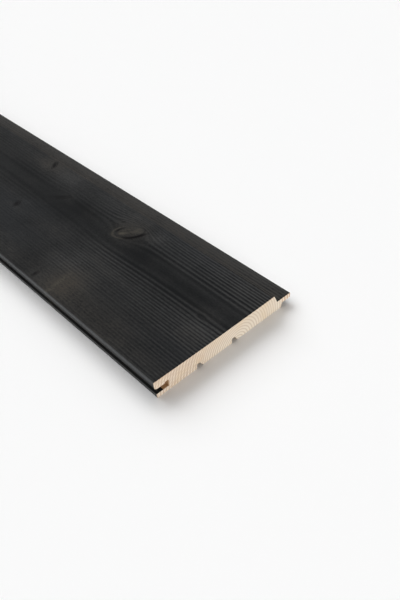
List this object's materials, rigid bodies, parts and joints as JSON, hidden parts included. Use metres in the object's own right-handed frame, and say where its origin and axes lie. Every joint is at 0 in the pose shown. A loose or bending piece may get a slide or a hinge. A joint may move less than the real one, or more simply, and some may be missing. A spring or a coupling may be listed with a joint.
{
  "type": "sauna panel board",
  "caption": "Tongue-and-groove softwood wall board with a brushed, dark-stained face, a shadow-gap shoulder and relief grooves in the back.",
  "frame": {"origin": "middle of the back, which lies on the floor", "axes": "X across the board from the groove to the tongue, Y along its length, +Z out of the finished face"},
  "size_m": [0.12, 2.1, 0.015],
  "materials": {
    "board": "brushed softwood, dark stain on the face, bare on the ends and the back"
  },
  "bodies": {
    "root": {"panel_board": "board"}
  },
  "joints": []
}
